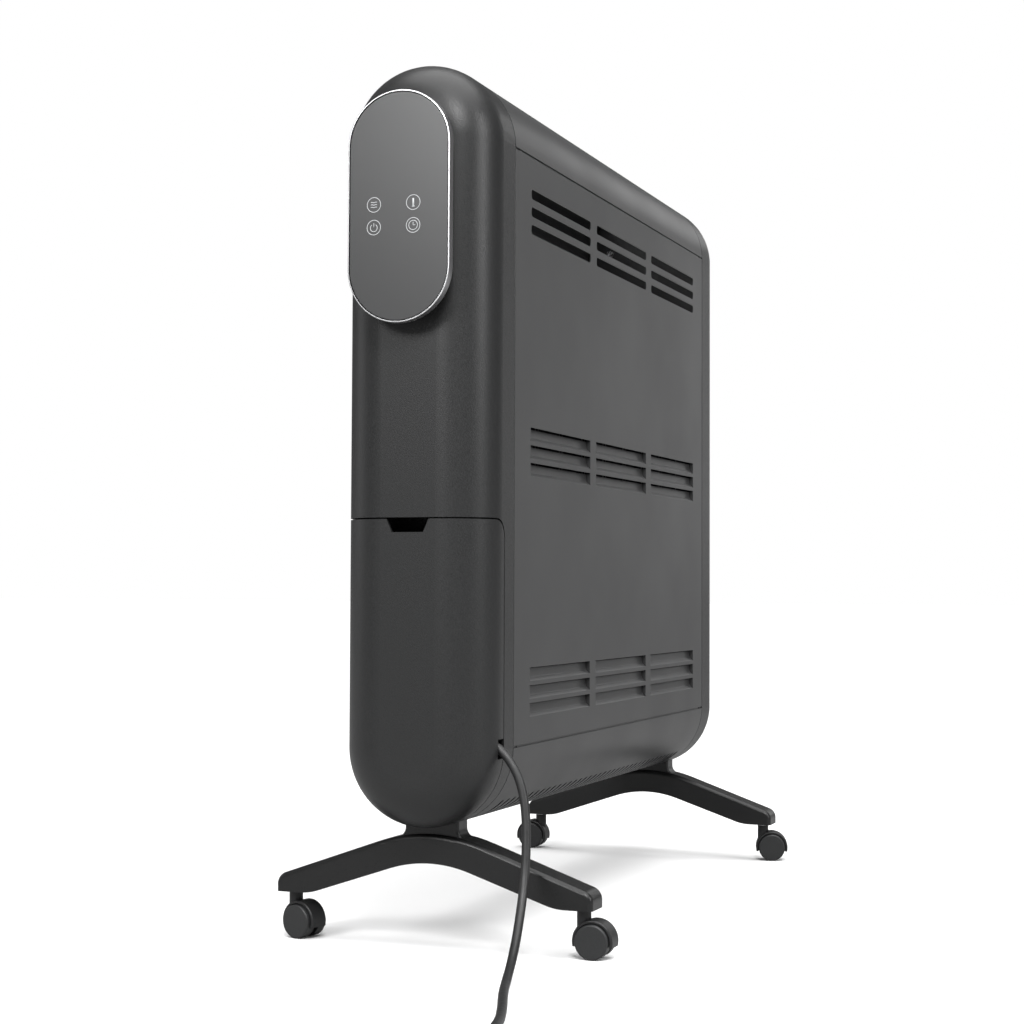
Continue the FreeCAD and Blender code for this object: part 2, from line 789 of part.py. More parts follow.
def make_fin(index):
    """One hollow pressed-steel fin with its share of the two oil ways."""
    y = first_fin_y + index * fin_pitch
    half = fin_thickness / 2
    front, back = y - half - fin_half_gap, y + half + fin_half_gap
    first, last = index == 0, index == fin_count - 1
    fin_top_z = fin_base_z + fin_height
    hull = rounded_plate(fin_width, fin_base_z, fin_top_z, y - half, y + half, fin_corner)
    skirt = rounded_plate(fin_width + 2 * fin_skirt, fin_base_z - fin_skirt, fin_top_z + fin_skirt,
                          y - 0.8, y + 0.8, fin_corner + fin_skirt)
    solids = [hull, skirt]
    bores = [fin_cavity(y, 0)]
    for z in (low_hub_z, high_hub_z):
        start = y if first and z == high_hub_z else front
        stop = y if last else back
        solids.append(rod(0, start, z, hub_radius, stop - start, Y))
        bores.append(rod(0, start, z, hub_radius - hub_wall, stop - start, Y))
    return fused(solids).cut(bores)


def make_radiator_fins():
    return group([make_fin(index) for index in range(fin_count)])


element_x = [-10.0, 10.0]
element_rise = 9.0
element_end_y = last_fin_y - 40.0
flange_thickness = 5.0


def heating_element(x, radius):
    """One tubular element: two legs along the low oil way, joined by a half turn."""
    start = core_front_y - flange_thickness - 10
    length = element_end_y - start
    legs = [rod(x, start, low_hub_z + side * element_rise, radius, length, Y) for side in (-1, 1)]
    ring = Part.makeTorus(element_rise, radius, Vector(x, element_end_y, low_hub_z), X)
    reach = element_rise + radius + 1
    bend = ring.common(block(x - reach, x + reach, element_end_y, element_end_y + reach,
                             low_hub_z - reach, low_hub_z + reach))
    return fused(legs + [bend])


def make_heating_elements():
    return group([heating_element(x, element_radius) for x in element_x])


def make_element_flange():
    disc = rod(0, core_front_y - flange_thickness, low_hub_z, hub_radius + 3, flange_thickness, Y)
    legs = [rod(x, core_front_y - flange_thickness - 1, low_hub_z + side * element_rise,
                element_radius + press_gap, flange_thickness + 2, Y) for x in element_x for side in (-1, 1)]
    return disc.cut(legs)


def make_thermal_oil():
    """The oil that fills the fins and their oil ways round the elements."""
    shrink = 0.2
    pieces = [fin_cavity(first_fin_y + index * fin_pitch, shrink) for index in range(fin_count)]
    radius = hub_radius - hub_wall - shrink
    low_start = core_front_y + 0.5
    pieces.append(rod(0, low_start, low_hub_z, radius, last_fin_y - low_start, Y))
    pieces.append(rod(0, first_fin_y, high_hub_z, radius, last_fin_y - first_fin_y, Y))
    oil = fused(pieces)
    return oil.cut([heating_element(x, element_radius + 0.1) for x in element_x])


def make_oil_plug():
    """The hexagon plug on the last fin's rear face, above its low oil way."""
    y = last_fin_y + fin_thickness / 2
    corners = [(14 * math.cos(math.radians(60 * k)), y, low_hub_z + 14 * math.sin(math.radians(60 * k)))
               for k in range(6)]
    return prism(corners, Vector(0, 7, 0))


def make_core_brackets():
    """Saddles that stand on the base channel and hold the first and last fins."""
    brackets = []
    top = fin_base_z - fin_skirt
    base = channel_top
    for y in (first_fin_y, last_fin_y):
        foot = block(-channel_width / 2, channel_width / 2, y - 14, y + 14, base, base + 2)
        post = block(-18, 18, y - 3, y + 3, base, top)
        brackets.append(fused([foot, post]))
    return group(brackets)


def make_thermal_cutout():
    y1 = first_fin_y - fin_thickness / 2
    z = high_hub_z - 85
    return fused([rod(0, y1 - 6, z, 9, 6, Y), block(-16, 16, y1 - 1.5, y1, z - 4, z + 4)])


# ---- feet ----

def crown_height(x):
    """The height of the foot's rounded top at a distance from its middle."""
    return foot_crown - foot_crown_radius + math.sqrt(foot_crown_radius ** 2 - x ** 2)


def make_saddle(y0):
    """The upright block under the cabinet, which flares outwards onto the foot's top."""
    top = body_low + 8
    reach = saddle_half + saddle_flare
    flare_z = crown_height(reach)
    root = flare_z - 8
    lean = saddle_flare * (1 - math.sqrt(0.5))

    def point(x, z):
        return Vector(x, y0, z)

    def flare(side):
        start = point(side * saddle_half, flare_z + saddle_flare)
        middle = point(side * (saddle_half + lean), flare_z + lean)
        return Part.Arc(start, middle, point(side * reach, flare_z)).toShape()

    corners = [(reach, flare_z), (reach, root), (-reach, root), (-reach, flare_z)]
    lines = list(zip(corners, corners[1:]))
    lines.append(((-saddle_half, flare_z + saddle_flare), (-saddle_half, top)))
    lines.append(((-saddle_half, top), (saddle_half, top)))
    lines.append(((saddle_half, top), (saddle_half, flare_z + saddle_flare)))
    edges = [Part.LineSegment(point(*start), point(*end)).toShape() for start, end in lines]
    edges += [flare(1), flare(-1)]
    outline = Part.Wire(Part.__sortEdges__(edges))
    saddle = Part.Face(outline).extrude(Vector(0, saddle_width, 0))
    rims = [edge for side in (y0, y0 + saddle_width) for edge in edges_at(saddle, "y", side)
            if edge.BoundBox.ZMin > root + 1]
    return saddle.makeFillet(saddle_round, rims)


def make_foot(y):
    """An arched moulding with a saddle for the cabinet, caster sockets and screw holes."""
    half = foot_span / 2
    top_angle = math.atan(foot_top_slope)
    under_angle = math.atan(foot_under_slope)
    apex = foot_crown + foot_crown_radius * (1 / math.cos(top_angle) - 1)
    arch_apex = foot_arch + foot_arch_radius * (1 / math.cos(under_angle) - 1)
    sole_x = (arch_apex - foot_sole_z) / foot_under_slope
    y0 = y - foot_width / 2
    end_top = apex - foot_top_slope * half
    outline = [(-half, y0, foot_sole_z), (-half, y0, end_top), (0, y0, apex), (half, y0, end_top),
               (half, y0, foot_sole_z), (sole_x, y0, foot_sole_z), (0, y0, arch_apex),
               (-sole_x, y0, foot_sole_z)]
    foot = prism(outline, Vector(0, foot_width, 0))

    def corner(x, z):
        return [edge for edge in foot.Edges if edge.BoundBox.YLength > foot_width * 0.9
                and abs(edge.BoundBox.XMin - x) < 0.01 and abs(edge.BoundBox.ZMin - z) < 0.01]

    foot = foot.makeFillet(foot_crown_radius, corner(0, apex))
    foot = foot.makeFillet(foot_arch_radius, corner(0, arch_apex))
    foot = foot.makeFillet(foot_toe_radius, corner(sole_x, foot_sole_z) + corner(-sole_x, foot_sole_z))
    foot = foot.makeFillet(foot_end_radius, corner(half, end_top) + corner(-half, end_top))
    rims = [edge for side in (y0, y0 + foot_width) for edge in edges_at(foot, "y", side)
            if edge.CenterOfMass.z > arch_line(edge.CenterOfMass.x)]
    foot = foot.makeFillet(foot_edge_radius, rims)
    cabinet = stadium(body_half, body_low, body_high, y - foot_width, y + foot_width)
    foot = fused([foot, make_saddle(y - saddle_width / 2)]).cut(cabinet)
    cuts = []
    for x in (-stem_x, stem_x):
        cuts.append(rod(x, y, foot_sole_z - 1, stem_radius + press_gap, stem_depth + 1.2, Z))
    for x in foot_screw_places:
        cuts.append(rod(x, y, foot_arch - 8, foot_screw_head + 1, screw_seat_z - foot_arch + 8, Z))
        cuts.append(rod(x, y, foot_arch, foot_screw_radius + screw_play, body_high - foot_arch, Z))
    return foot.cut(cuts)


def arch_line(x):
    """A height between the foot's top and under edges, to tell them apart."""
    return foot_crown - 10 - abs(x) * 0.34


stem_depth = 8.0
foot_screw_head = 5.0
screw_seat_z = foot_arch + 9


def make_foot_screws():
    length = channel_z + channel_steel + 4 - screw_seat_z
    return group([screw(x, y, screw_seat_z, foot_screw_radius, length, foot_screw_head, 3.2, Z)
                  for x in foot_screw_places for y in (foot_front_y, foot_rear_y)])


# ---- casters ----

stem_pin_end = wheel_radius + 14.8
neck_top = foot_sole_z - collar_height - collar_gap


def make_caster_stems():
    """The steel stems pressed into the feet, each with its light collar and swivel pin."""
    stems = []
    for x, y in caster_places().values():
        upper = rod(x, y, foot_sole_z, stem_radius, stem_depth, Z)
        collar = rod(x, y, foot_sole_z - collar_height, stem_radius + 1.3, collar_height, Z)
        pin = rod(x, y, stem_pin_end, stem_pin_radius, foot_sole_z - stem_pin_end, Z)
        stems.append(fused([upper, collar, pin]))
    return group(stems)


def caster_places():
    return {"fr": (stem_x, foot_front_y), "fl": (-stem_x, foot_front_y),
            "rr": (stem_x, foot_rear_y), "rl": (-stem_x, foot_rear_y)}


def placed(shape, corner):
    """A caster piece turned to its swivel angle and moved under its foot."""
    x, y = caster_places()[corner]
    moved = shape.copy()
    moved.rotate(Vector(0, 0, 0), Z, caster_angles[corner])
    moved.translate(Vector(x, y, 0))
    return moved


web_half = caster_width / 2 - wheel_width - 0.3


def caster_hood():
    """The hood: a web between the wheels, a round mudguard over them and a neck on the stem."""
    trail = caster_trail
    guard = rod(trail, -hood_width / 2, wheel_radius, hood_radius, hood_width, Y)
    guard = guard.makeFillet(1.2, guard.Edges)
    guard = guard.cut(block(-40, 60, -40, 40, -10, hood_foot_z))
    web = rod(trail, -web_half, wheel_radius, 11.0, 2 * web_half, Y)
    neck = rod(0, 0, wheel_radius + 6, neck_radius, neck_top - wheel_radius - 6, Z)
    body = fused([guard, web, neck])
    wells = [rod(trail, web_half if side > 0 else -caster_width, wheel_radius, wheel_radius + wheel_clearance,
                 caster_width - web_half, Y) for side in (-1, 1)]
    pin_bore = rod(0, 0, stem_pin_end - 0.5, stem_pin_radius + running, 20, Z)
    axle_bore = rod(trail, -20, wheel_radius, axle_radius + press_gap, 40, Y)
    return body.cut(wells + [pin_bore, axle_bore])


def caster_axle():
    half = caster_width / 2 - 2.6
    return rod(caster_trail, -half, wheel_radius, axle_radius, 2 * half, Y)


def caster_wheel(side):
    """One wheel disc with a shallow dish and a blind bore for the axle."""
    inner = caster_width / 2 - wheel_width
    wheel = rod(caster_trail, inner, wheel_radius, wheel_radius, wheel_width, Y)
    outer_face = inner + wheel_width
    wheel = wheel.makeFillet(1.4, edges_at(wheel, "y", outer_face))
    bore = rod(caster_trail, inner - 1, wheel_radius, axle_radius + running, wheel_width - 1.2, Y)
    pocket = sleeve(caster_trail, inner - 1, wheel_radius, wheel_radius - 2.2, axle_radius + 2.6,
                    wheel_width - 2.5, Y)
    wheel = wheel.cut([bore, pocket])
    if side < 0:
        wheel = wheel.mirror(Vector(0, 0, 0), Y)
    return wheel


# ---- mains lead ----

# The lead's hand-chosen route: out of the notch, down past the foot's arm, and away over the floor.
cord_radius = cord_diameter / 2
floor_line = cord_radius + 0.1
cord_route = [
    (cord_start_x, cord_y, cord_z),
    (46.0, -296.2, 168.8),
    (61.4, -296.6, 161.3),
    (73.8, -297.4, 148.4),
    (82.0, -299.0, 131.6),
    (86.4, -302.0, 111.0),
    (88.4, -306.0, 87.5),
    (89.2, -312.0, 63.0),
    (90.8, -324.5, 40.5),
    (94.4, -343.5, 22.0),
    (100.0, -369.0, 9.0),
    (108.6, -401.0, floor_line),
    (121.2, -439.5, floor_line),
    (137.0, -481.0, floor_line),
    (152.2, -526.5, floor_line),
    (158.0, -573.0, floor_line),
    (154.0, -619.0, floor_line),
    (148.8, -655.0, floor_line),
    (148.0, -687.4, floor_line),
]
coil_centre = (102.5, -687.4)
coil_layers = 2
plug_route = [
    (102.5, -732.9, floor_line + cord_diameter),
    (87.5, -733.5, floor_line + cord_diameter),
    (71.5, -731.9, 9.4),
    (55.5, -729.9, 10.6),
    (40.5, -729.1, plug_height / 2),
]


def cord_tube(points, radius, name):
    """A round tube on straight runs joined by tangent arcs as large as the runs allow."""
    corners = [Vector(*point) for point in points]
    edges = []
    radii = []
    here = corners[0]
    for before, at, after in zip(corners, corners[1:], corners[2:]):
        back = before - at
        ahead = after - at
        shorter = min(back.Length, ahead.Length)
        turn = math.pi - back.getAngle(ahead)
        cut = 0.45 * shorter
        bend = cut / math.tan(turn / 2)
        start = at + back.normalize() * cut
        end = at + ahead.normalize() * cut
        middle_way = (back + ahead).normalize()
        middle = at + middle_way * (bend / math.cos(turn / 2) - bend)
        edges.append(Part.LineSegment(here, start).toShape())
        edges.append(Part.Arc(start, middle, end).toShape())
        radii.append(round(bend, 1))
        here = end
    edges.append(Part.LineSegment(here, corners[-1]).toShape())
    path = Part.Wire(edges)
    first = corners[1] - corners[0]
    section = Part.Wire([Part.makeCircle(radius, corners[0], first)])
    tube = path.makePipeShell([section], True, False)
    expected = math.pi * radius ** 2 * path.Length
    print(name, "length", round(path.Length, 1), "radii", radii,
          "volume ratio", round(tube.Volume / expected, 4), "valid", tube.isValid())
    return tube


def make_power_cord():
    """The lead outside the coil: it stops at the coil's outer wall and starts there again."""
    main = cord_tube(cord_route, cord_radius, "main run")
    tail = cord_tube(plug_route, cord_radius, "tail run")
    coil = make_cord_coil()
    return group([main.cut(coil), tail.cut(coil)])


def make_cord_coil():
    """The outer shape of the wound turns."""
    outer = coil_middle_radius + cord_diameter + 0.4
    inner = coil_middle_radius - cord_diameter - 0.4
    height = coil_layers * cord_diameter + 0.5
    ring = rod(coil_centre[0], coil_centre[1], 0, outer, height, Z)
    ring = ring.cut(rod(coil_centre[0], coil_centre[1], -1, inner, height + 2, Z))
    return ring.makeFillet(2.5, ring.Edges)


def make_mains_plug():
    """A generic two-pin plug that lies beside the coil, its pins pointing -X."""
    x, y, z = plug_route[-1]
    face_x = x - plug_length
    head_back = face_x + plug_head_length
    grip = Part.makeCone(5.5, 11, x + 4 - head_back + 2, Vector(x + 4, y, z), X * -1)
    reach_y, reach_z = plug_width / 2, plug_height / 2
    head = block(face_x, head_back, y - reach_y, y + reach_y, z - reach_z, z + reach_z)
    head = head.makeFillet(8, [edge for edge in head.Edges if edge.BoundBox.XLength > 10])
    head = head.makeFillet(3, edges_at(head, "x", head_back))
    pins = [rod(face_x + 4, y + side * plug_pin_spacing / 2, z, plug_pin_radius, plug_pin_length + 4, X * -1)
            for side in (-1, 1)]
    body = fused([grip, head] + pins)
    return body.cut(rod(x, y, z, cord_radius + press_gap, 10, X))


# ---- the whole heater ----

def build_cabinet():
    parts["front_cap"] = make_front_cap()
    parts["rear_cap"] = make_rear_cap()
    parts["storage_tray"] = make_storage_tray()
    right = make_side_panel()
    parts["side_panel_right"] = right
    parts["side_panel_left"] = right.mirror(Vector(0, 0, 0), X)
    parts["top_cover"] = make_cover(True)
    parts["bottom_cover"] = make_cover(False)
    parts["cord_door"] = make_cord_door()
    pin_half = knuckle_half + ear_width + fit_gap
    parts["door_hinge_pin"] = rod(-pin_half, hinge_y, hinge_z, hinge_pin_radius, 2 * pin_half, X)
    parts["cap_screws"] = make_cap_screws()


def build_control_panel():
    parts["control_housing"] = make_control_housing()
    parts["control_ring"] = make_control_ring()
    parts["control_glass"] = make_control_glass()
    parts["control_board"] = make_control_board()
    parts["touch_springs"] = make_touch_springs()
    parts["control_screws"] = make_control_screws()


def build_electrics():
    parts["base_channel"] = make_base_channel()
    parts["end_plates"] = make_end_plates()
    parts["board_carrier"] = make_board_carrier()
    parts["power_board"] = make_power_board()
    parts["terminal_box"] = make_terminal_box()
    parts["terminal_block"] = make_terminal_block()
    parts["cord_strain_relief"] = make_strain_relief()
    parts["cord_clamp"] = make_cord_clamp()
    parts["cord_hooks"] = make_cord_hooks()
    parts["tilt_switch"] = make_tilt_switch()
    parts["temperature_probe"] = make_temperature_probe()
    parts["wiring_loom"] = make_wiring()


def build_core():
    parts["radiator_fins"] = make_radiator_fins()
    parts["thermal_oil"] = make_thermal_oil()
    parts["heating_elements"] = make_heating_elements()
    parts["element_flange"] = make_element_flange()
    parts["oil_plug"] = make_oil_plug()
    parts["core_brackets"] = make_core_brackets()
    parts["thermal_cutout"] = make_thermal_cutout()


def build_feet():
    parts["foot_front"] = make_foot(foot_front_y)
    parts["foot_rear"] = make_foot(foot_rear_y)
    parts["foot_screws"] = make_foot_screws()
    parts["caster_stems"] = make_caster_stems()
    for corner in caster_places():
        parts["caster_" + corner + "_hood"] = placed(caster_hood(), corner)
        parts["caster_" + corner + "_axle"] = placed(caster_axle(), corner)
        parts["caster_" + corner + "_wheel_a"] = placed(caster_wheel(-1), corner)
        parts["caster_" + corner + "_wheel_b"] = placed(caster_wheel(1), corner)


def build_lead():
    parts["power_cord"] = make_power_cord()
    parts["cord_coil"] = make_cord_coil()
    parts["mains_plug"] = make_mains_plug()


build_cabinet()
build_control_panel()
build_electrics()
build_core()
build_feet()
build_lead()

os.makedirs("parts", exist_ok=True)
for name, shape in parts.items():
    if not shape.isValid() or not shape.Solids:
        print("CHECK", name, "valid", shape.isValid(), "solids", len(shape.Solids))
    shape.exportStep("parts/" + name + ".step")
print(len(parts), "nodes written")
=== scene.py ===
import math

import bmesh
import bpy
from mathutils import Matrix, Vector


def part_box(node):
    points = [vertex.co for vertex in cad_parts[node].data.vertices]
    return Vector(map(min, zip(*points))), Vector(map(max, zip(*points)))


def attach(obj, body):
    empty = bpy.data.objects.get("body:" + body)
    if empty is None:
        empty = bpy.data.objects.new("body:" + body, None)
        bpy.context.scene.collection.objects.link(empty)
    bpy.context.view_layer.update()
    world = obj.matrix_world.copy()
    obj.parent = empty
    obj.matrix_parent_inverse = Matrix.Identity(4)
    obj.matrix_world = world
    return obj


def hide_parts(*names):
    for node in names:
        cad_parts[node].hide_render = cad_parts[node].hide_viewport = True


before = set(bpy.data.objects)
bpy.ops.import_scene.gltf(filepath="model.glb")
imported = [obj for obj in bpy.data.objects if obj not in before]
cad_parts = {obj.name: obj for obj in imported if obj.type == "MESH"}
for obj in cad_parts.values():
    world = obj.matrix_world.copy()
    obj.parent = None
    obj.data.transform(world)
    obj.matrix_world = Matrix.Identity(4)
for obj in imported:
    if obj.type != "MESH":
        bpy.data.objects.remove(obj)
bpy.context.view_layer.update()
print("frame loaded:", len(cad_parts), "nodes")


cameraSet = {
    "place": (0.61118, -1.70418, 0.28624),
    "turn": 20.97,      # degrees left of straight along the length
    "rise": 2.196,
    "roll": 0.245,
    "lens": 68.12,
    "sensor": 36.0,
}


def makeCamera():
    turn = math.radians(cameraSet["turn"])
    rise = math.radians(cameraSet["rise"])
    roll = math.radians(cameraSet["roll"])
    ahead = Vector((-math.sin(turn) * math.cos(rise), math.cos(turn) * math.cos(rise), math.sin(rise)))
    level = Vector((math.cos(turn), math.sin(turn), 0))
    upright = level.cross(ahead)
    right = level * math.cos(roll) + upright * math.sin(roll)
    up = upright * math.cos(roll) - level * math.sin(roll)
    lensData = bpy.data.cameras.new("camera")
    lensData.lens = cameraSet["lens"]
    lensData.sensor_width = cameraSet["sensor"]
    lensData.clip_end = 60
    camera = bpy.data.objects.new("camera", lensData)
    bpy.context.scene.collection.objects.link(camera)
    columns = Matrix((right, up, -ahead)).transposed().to_4x4()
    camera.matrix_world = Matrix.Translation(cameraSet["place"]) @ columns
    bpy.context.scene.camera = camera


makeCamera()
print("camera made")


def deselectAll():
    bpy.ops.object.select_all(action="DESELECT")


def makeActive(piece):
    deselectAll()
    piece.select_set(True)
    bpy.context.view_layer.objects.active = piece


def editFaces(piece, wanted):
    # edit mode with only the faces that the test picks selected
    makeActive(piece)
    bpy.ops.object.mode_set(mode="EDIT")
    bpy.ops.mesh.select_mode(type="FACE")
    bpy.ops.mesh.select_all(action="DESELECT")
    shape = bmesh.from_edit_mesh(piece.data)
    for face in shape.faces:
        face.select_set(wanted(face))
    bmesh.update_edit_mesh(piece.data)


def leaveEdit():
    bpy.ops.object.mode_set(mode="OBJECT")


def settle(piece):
    # place, turn and size go into the mesh
    makeActive(piece)
    bpy.ops.object.transform_apply(location=True, rotation=True, scale=True)


def applyAll(piece):
    makeActive(piece)
    for modifier in list(piece.modifiers):
        bpy.ops.object.modifier_apply(modifier=modifier.name)


def outward(piece):
    # closes doubled points and turns every face outwards
    makeActive(piece)
    bpy.ops.object.mode_set(mode="EDIT")
    bpy.ops.mesh.select_all(action="SELECT")
    bpy.ops.mesh.remove_doubles(threshold=0.000002)
    bpy.ops.mesh.normals_make_consistent(inside=False)
    leaveEdit()


def smooth(piece, angle=35):
    makeActive(piece)
    bpy.ops.object.shade_smooth_by_angle(angle=math.radians(angle))


def softEdges(piece, width, segments=3, angle=30):
    bevel = piece.modifiers.new("softEdges", "BEVEL")
    bevel.width = width
    bevel.segments = segments
    bevel.limit_method = "ANGLE"
    bevel.angle_limit = math.radians(angle)
    applyAll(piece)


def turned(name, start, along, rings, sides=48):
    # a disc extruded ring by ring, as on a lathe; rings are (distance, radius)
    deselectAll()
    bpy.ops.mesh.primitive_circle_add(vertices=sides, radius=rings[0][1], fill_type="NGON")
    piece = bpy.context.object
    piece.name = name
    bpy.ops.object.mode_set(mode="EDIT")
    bpy.ops.mesh.select_all(action="SELECT")
    for (here, radius), (there, nextRadius) in zip(rings, rings[1:]):
        bpy.ops.mesh.extrude_region_move(TRANSFORM_OT_translate={"value": (0, 0, there - here)})
        ratio = nextRadius / radius
        bpy.ops.transform.resize(value=(ratio, ratio, 1), center_override=(0, 0, there))
    leaveEdit()
    piece.rotation_mode = "QUATERNION"
    piece.rotation_quaternion = Vector(along).to_track_quat("Z", "Y")
    piece.location = start
    settle(piece)
    outward(piece)
    return piece


cordSet = {
    "diameter": 0.007,
    "restHeight": 0.0036,
    "coilCentre": (0.1025, -0.6874),
    "coilMiddle": 0.042,
    "turns": 3.25,
    "pointsPerTurn": 20,
    "length": 1.465,
    # degrees of winding over which the lead moves to its next lane
    "inwards": (290, 343),
    "upwards": (590, 650),
    "outwards": (890, 950),
}
restHeight = cordSet["restHeight"]
cordRoute = [
    (0.030, -0.296, 0.170),
    (0.046, -0.2962, 0.1688),
    (0.0614, -0.2966, 0.1613),
    (0.0738, -0.2974, 0.1484),
    (0.082, -0.299, 0.1316),
    (0.0864, -0.302, 0.111),
    (0.0884, -0.306, 0.0875),
    (0.0892, -0.312, 0.063),
    (0.0908, -0.3245, 0.0405),
    (0.0944, -0.3435, 0.022),
    (0.100, -0.369, 0.009),
    (0.1086, -0.401, restHeight),
    (0.1212, -0.4395, restHeight),
    (0.137, -0.481, restHeight),
    (0.1522, -0.5265, restHeight),
    (0.158, -0.573, restHeight),
    (0.154, -0.619, restHeight),
    (0.1488, -0.655, restHeight),
]
tailRoute = [
    (0.0875, -0.7335, 0.0106),
    (0.0715, -0.7319, 0.0094),
    (0.0555, -0.7299, 0.0106),
    (0.0405, -0.7291, 0.0135),
]


def easeStep(value, low, high):
    share = min(1.0, max(0.0, (value - low) / (high - low)))
    return share * share * (3 - 2 * share)


def coilPoints():
    # the winding: outer low lane, inner low lane, inner high lane, outer high lane
    diameter = cordSet["diameter"]
    step = 360 / cordSet["pointsPerTurn"]
    spread = 1 / math.cos(math.radians(step / 2))    # the spline cuts inside its points by this much
    centreX, centreY = cordSet["coilCentre"]
    points = []
    for index in range(1, int(cordSet["turns"] * cordSet["pointsPerTurn"]) + 1):
        wound = index * step
        inside = easeStep(wound, *cordSet["inwards"]) - easeStep(wound, *cordSet["outwards"])
        lifted = easeStep(wound, *cordSet["upwards"])
        radius = (cordSet["coilMiddle"] + diameter / 2 - inside * diameter) * spread
        angle = -math.radians(wound)
        points.append((centreX + radius * math.cos(angle), centreY + radius * math.sin(angle),
                       restHeight + lifted * diameter))
    return points


def makeCord():
    route = cordRoute + [(cordSet["coilCentre"][0] + cordSet["coilMiddle"] + cordSet["diameter"] / 2,
                          cordSet["coilCentre"][1], restHeight)] + coilPoints() + tailRoute
    line = bpy.data.curves.new("mainsLead", "CURVE")
    line.dimensions = "3D"
    line.bevel_depth = cordSet["diameter"] / 2
    line.bevel_resolution = 6
    line.resolution_u = 8
    line.use_fill_caps = True
    spline = line.splines.new("NURBS")
    spline.points.add(len(route) - 1)
    for point, place in zip(spline.points, route):
        point.co = (*place, 1)
    spline.order_u = 3
    spline.use_endpoint_u = True
    cord = bpy.data.objects.new("mainsLead", line)
    bpy.context.scene.collection.objects.link(cord)
    return cord


plugSet = {
    "width": 0.036,
    "height": 0.027,
    "headLength": 0.0236,
    "length": 0.038,
    "backInset": 0.004,
    "edgeRound": 0.005,
    "waist": 0.93,           # extra narrowing of the grip across the plug's width
    "grip": [(0.0035, 0.86), (0.005, 0.84), (0.004, 0.80), (0.004, 0.86)],   # (step, narrowing)
    "pinRadius": 0.0024,
    "pinLength": 0.019,
    "pinSpacing": 0.019,
    "sleeveLength": 0.009,
    "pinRoot": 0.0005,       # how far a pin's root is sunk in the face
    "ribs": 5,
    "ribPitch": 0.0036,
    "firstRib": 0.0046,
    "ribSink": 0.0004,
    "ribSize": (0.0013, 0.0012, 0.013),
    "ribRound": 0.0004,
}


def makePlug():
    end = Vector(tailRoute[-1])
    faceX = end.x - plugSet["length"]
    deselectAll()
    bpy.ops.mesh.primitive_cube_add(size=1, location=(faceX + plugSet["headLength"] / 2, end.y, end.z),
                                    scale=(plugSet["headLength"], plugSet["width"], plugSet["height"]))
    body = bpy.context.object
    body.name = "plugBody"
    settle(body)
    backX = faceX + plugSet["headLength"]
    editFaces(body, lambda face: face.normal.x > 0.9)
    bpy.ops.mesh.inset(thickness=plugSet["backInset"])
    here = backX
    for step, ratio in plugSet["grip"]:
        bpy.ops.mesh.extrude_region_move(TRANSFORM_OT_translate={"value": (step, 0, 0)})
        here += step
        bpy.ops.transform.resize(value=(1, ratio * plugSet["waist"], ratio),
                                 center_override=(here, end.y, end.z))
    leaveEdit()
    softEdges(body, plugSet["edgeRound"], 4, 40)
    rounding = body.modifiers.new("rounding", "SUBSURF")
    rounding.levels = 2
    rounding.render_levels = 2
    applyAll(body)
    outward(body)
    smooth(body, 50)
    ribs = makePlugRibs(faceX, end)
    pins = makePlugPins(faceX, end)
    return [body, ribs, pins]


def makePlugRibs(faceX, end):
    # raised finger ribs on both flat sides of the plug
    made = []
    for side in (-1, 1):
        for index in range(plugSet["ribs"]):
            deselectAll()
            x = faceX + plugSet["firstRib"] + index * plugSet["ribPitch"]
            y = end.y + side * (plugSet["width"] / 2 - plugSet["ribSink"])
            bpy.ops.mesh.primitive_cube_add(size=1, location=(x, y, end.z), scale=plugSet["ribSize"])
            rib = bpy.context.object
            settle(rib)
            softEdges(rib, plugSet["ribRound"], 3)
            made.append(rib)
    return joined(made, "plugRibs")


def joined(made, name):
    makeActive(made[0])
    for piece in made:
        piece.select_set(True)
    bpy.ops.object.join()
    whole = bpy.context.object
    whole.name = name
    return whole


def makePlugPins(faceX, end):
    made = []
    radius = plugSet["pinRadius"]
    length = plugSet["pinLength"]
    sleeve = plugSet["pinRoot"] + plugSet["sleeveLength"]
    for side in (-1, 1):
        rings = [(0, radius), (sleeve - 0.0001, radius), (sleeve, radius * 0.9),
                 (length - 0.0016, radius * 0.9), (length - 0.0006, radius * 0.72), (length, radius * 0.4)]
        place = (faceX + plugSet["pinRoot"], end.y + side * plugSet["pinSpacing"] / 2, end.z)
        pin = turned("pin", place, (-1, 0, 0), rings, 32)
        smooth(pin, 40)
        made.append(pin)
    return joined(made, "plugPins")


reliefSet = {
    "flangeRadius": 0.0065,
    "rootRadius": 0.006,
    "tipRadius": 0.0044,
    "flange": 0.003,
    "edge": 0.0005,
    "firstGroove": 0.0025,
    "grooves": 4,
    "groovePitch": 0.0048,
    "grooveWidth": 0.0017,
    "grooveDepth": 0.0011,
}


